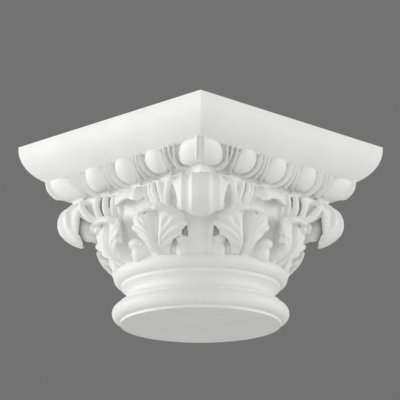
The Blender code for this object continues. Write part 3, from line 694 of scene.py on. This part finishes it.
# %% Ribs behind the leaves
RIB_POINTS = 14
RIBS = [
    (((10.5, 0.140, 0.1270), (10.2, 0.151, 0.1360), (9.8, 0.150, 0.1450), (9.5, 0.144, 0.1505)), 0.0036),
    (((14, 0.116, 0.1040), (17, 0.128, 0.1190), (16.2, 0.144, 0.1285),
      (14.3, 0.153, 0.1420), (13, 0.150, 0.1505)), 0.0050),
    (((15, 0.114, 0.1060), (19, 0.126, 0.1200), (20, 0.135, 0.1320),
      (21, 0.138, 0.1430), (22, 0.135, 0.1505)), 0.0046),
    (((17, 0.11, 0.1060), (22.5, 0.119, 0.1200), (24.5, 0.128, 0.1320),
      (26, 0.131, 0.1430), (26, 0.129, 0.1505)), 0.0046),
    (((19, 0.107, 0.1060), (26, 0.115, 0.1200), (28, 0.121, 0.1320),
      (29.5, 0.124, 0.1430), (30.5, 0.123, 0.1505)), 0.0046),
    (((22, 0.106, 0.1080), (30, 0.112, 0.1230), (32.5, 0.117, 0.1340),
      (34, 0.120, 0.1430), (35, 0.120, 0.1505)), 0.0044),
]


def rib(places, radius):
    """A tapered rib through places given as azimuth, radius and height."""
    spots = [(r * math.cos(math.radians(a)), r * math.sin(math.radians(a)), z) for a, r, z in places]
    curve = bpy.data.curves.new("rib", "CURVE")
    curve.dimensions = "3D"
    curve.bevel_depth = radius
    curve.bevel_resolution = 3
    curve.use_fill_caps = True
    spline = curve.splines.new("POLY")
    spline.points.add(RIB_POINTS - 1)
    for k, point in enumerate(spline.points):
        share = k / (RIB_POINTS - 1)
        point.co = (*curve_through(spots, np.array(share)), 1)
        point.radius = 0.7 + 0.3 * math.sin(math.pi * share)
    guide = new_piece("rib_guide", curve)
    depsgraph = bpy.context.evaluated_depsgraph_get()
    mesh = bpy.data.meshes.new_from_object(guide.evaluated_get(depsgraph))
    bpy.data.objects.remove(guide, do_unlink=True)
    return new_piece("rib", mesh)


for places, radius in RIBS:
    set_round(rib(places, radius), CORNERS, True)
print(len(RIBS), "ribs each side of a corner")

# %% [markdown]
# ## Buds
# Small round buds on stalks peep out between the stems and the leaves. A sphere stretched
# to three half-widths gives both the bud and its stalk, and a wide one closes the back of
# each hood, where the leaf rolls under.

# %% Buds and scrolls


def pebble(name, azimuth, radius, z, half_widths):
    """An ellipsoid, its half-widths given outward, sideways and up."""
    bm = bmesh.new()
    bmesh.ops.create_uvsphere(bm, u_segments=24, v_segments=16, radius=1)
    mesh = bpy.data.meshes.new(name)
    bm.to_mesh(mesh)
    bm.free()
    mesh.transform(Matrix.Diagonal((*half_widths, 1)))
    mesh.transform(Matrix.Translation((radius, 0, z)))
    mesh.transform(Matrix.Rotation(math.radians(azimuth), 4, "Z"))
    return new_piece(name, mesh)


set_round(pebble("corner_bud", 12, 0.1090, 0.0830, (0.0085, 0.0080, 0.0058)), CORNERS, True)
set_round(pebble("corner_stalk", 12, 0.1060, 0.0720, (0.0080, 0.0085, 0.0110)), CORNERS, True)
set_round(pebble("side_bud", 0, 0.1110, 0.0840, (0.0090, 0.0105, 0.0068)), SIDES)
set_round(pebble("side_stalk", 0, 0.1070, 0.0730, (0.0080, 0.0090, 0.0120)), SIDES)
set_round(pebble("scroll", 0, 0.1400, 0.1270, (0.0150, 0.0165, 0.0195)), CORNERS)
set_round(pebble("scroll_eye", 9.5, 0.1350, 0.1190, (0.0070, 0.0070, 0.0076)), CORNERS, True)
print(len(carvings), "rings of carving")

# %% [markdown]
# ## One casting
# Foam poured in a silicone mould has no seams between its leaves, and no knife edges. A
# voxel remesh joins all the carving into one skin, and a light smoothing rounds the edges
# as a coat of primer does. The neck and the abacus are crisp, so they stay out of the
# remesh and are joined to it with a Boolean. The bell melts with the leaves that grow on it.

# %% Melt the carving together
VOXEL = 0.0010
CARVING_TRIANGLES = 118000
SHARP_ANGLE = 38


def melted(pieces, name):
    """Join pieces that overlap into one skin with soft edges."""
    bm = bmesh.new()
    for piece in pieces:
        bm.from_mesh(piece.data)
        bpy.data.objects.remove(piece, do_unlink=True)
    mesh = bpy.data.meshes.new(name)
    bm.to_mesh(mesh)
    bm.free()
    skin = new_piece(name, mesh)
    remesh = skin.modifiers.new("remesh", "REMESH")
    remesh.mode = "VOXEL"
    remesh.voxel_size = VOXEL
    settled(skin)
    soften = skin.modifiers.new("soften", "SMOOTH")
    soften.factor = 0.5
    soften.iterations = 3
    settled(skin)
    fewer = skin.modifiers.new("fewer", "DECIMATE")
    fewer.ratio = min(1, CARVING_TRIANGLES / (2 * len(skin.data.polygons)))
    return settled(skin)


carving_skin = melted(carvings, "carving")
print("carving:", len(carving_skin.data.polygons), "faces")

# %% Join the carving, the neck, the course and the abacus


def joined(casting, piece):
    """Join a closed piece to the casting."""
    union = casting.modifiers.new("join", "BOOLEAN")
    union.operation = "UNION"
    union.solver = "MANIFOLD"
    union.object = piece
    settled(casting)
    bpy.data.objects.remove(piece, do_unlink=True)


for piece in (carving_skin, abacus, course):
    joined(carved_capital, piece)
carved_capital.data.materials.clear()
carved_capital.data.materials.append(primer)
carved_capital.data.shade_smooth()
carved_capital.data.set_sharp_from_angle(angle=math.radians(SHARP_ANGLE))
triangles = sum(len(face.vertices) - 2 for face in carved_capital.data.polygons)
print("carved capital:", triangles, "triangles")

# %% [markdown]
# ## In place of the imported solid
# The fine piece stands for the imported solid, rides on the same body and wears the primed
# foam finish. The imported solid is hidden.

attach(carved_capital, "root")
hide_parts("capital")
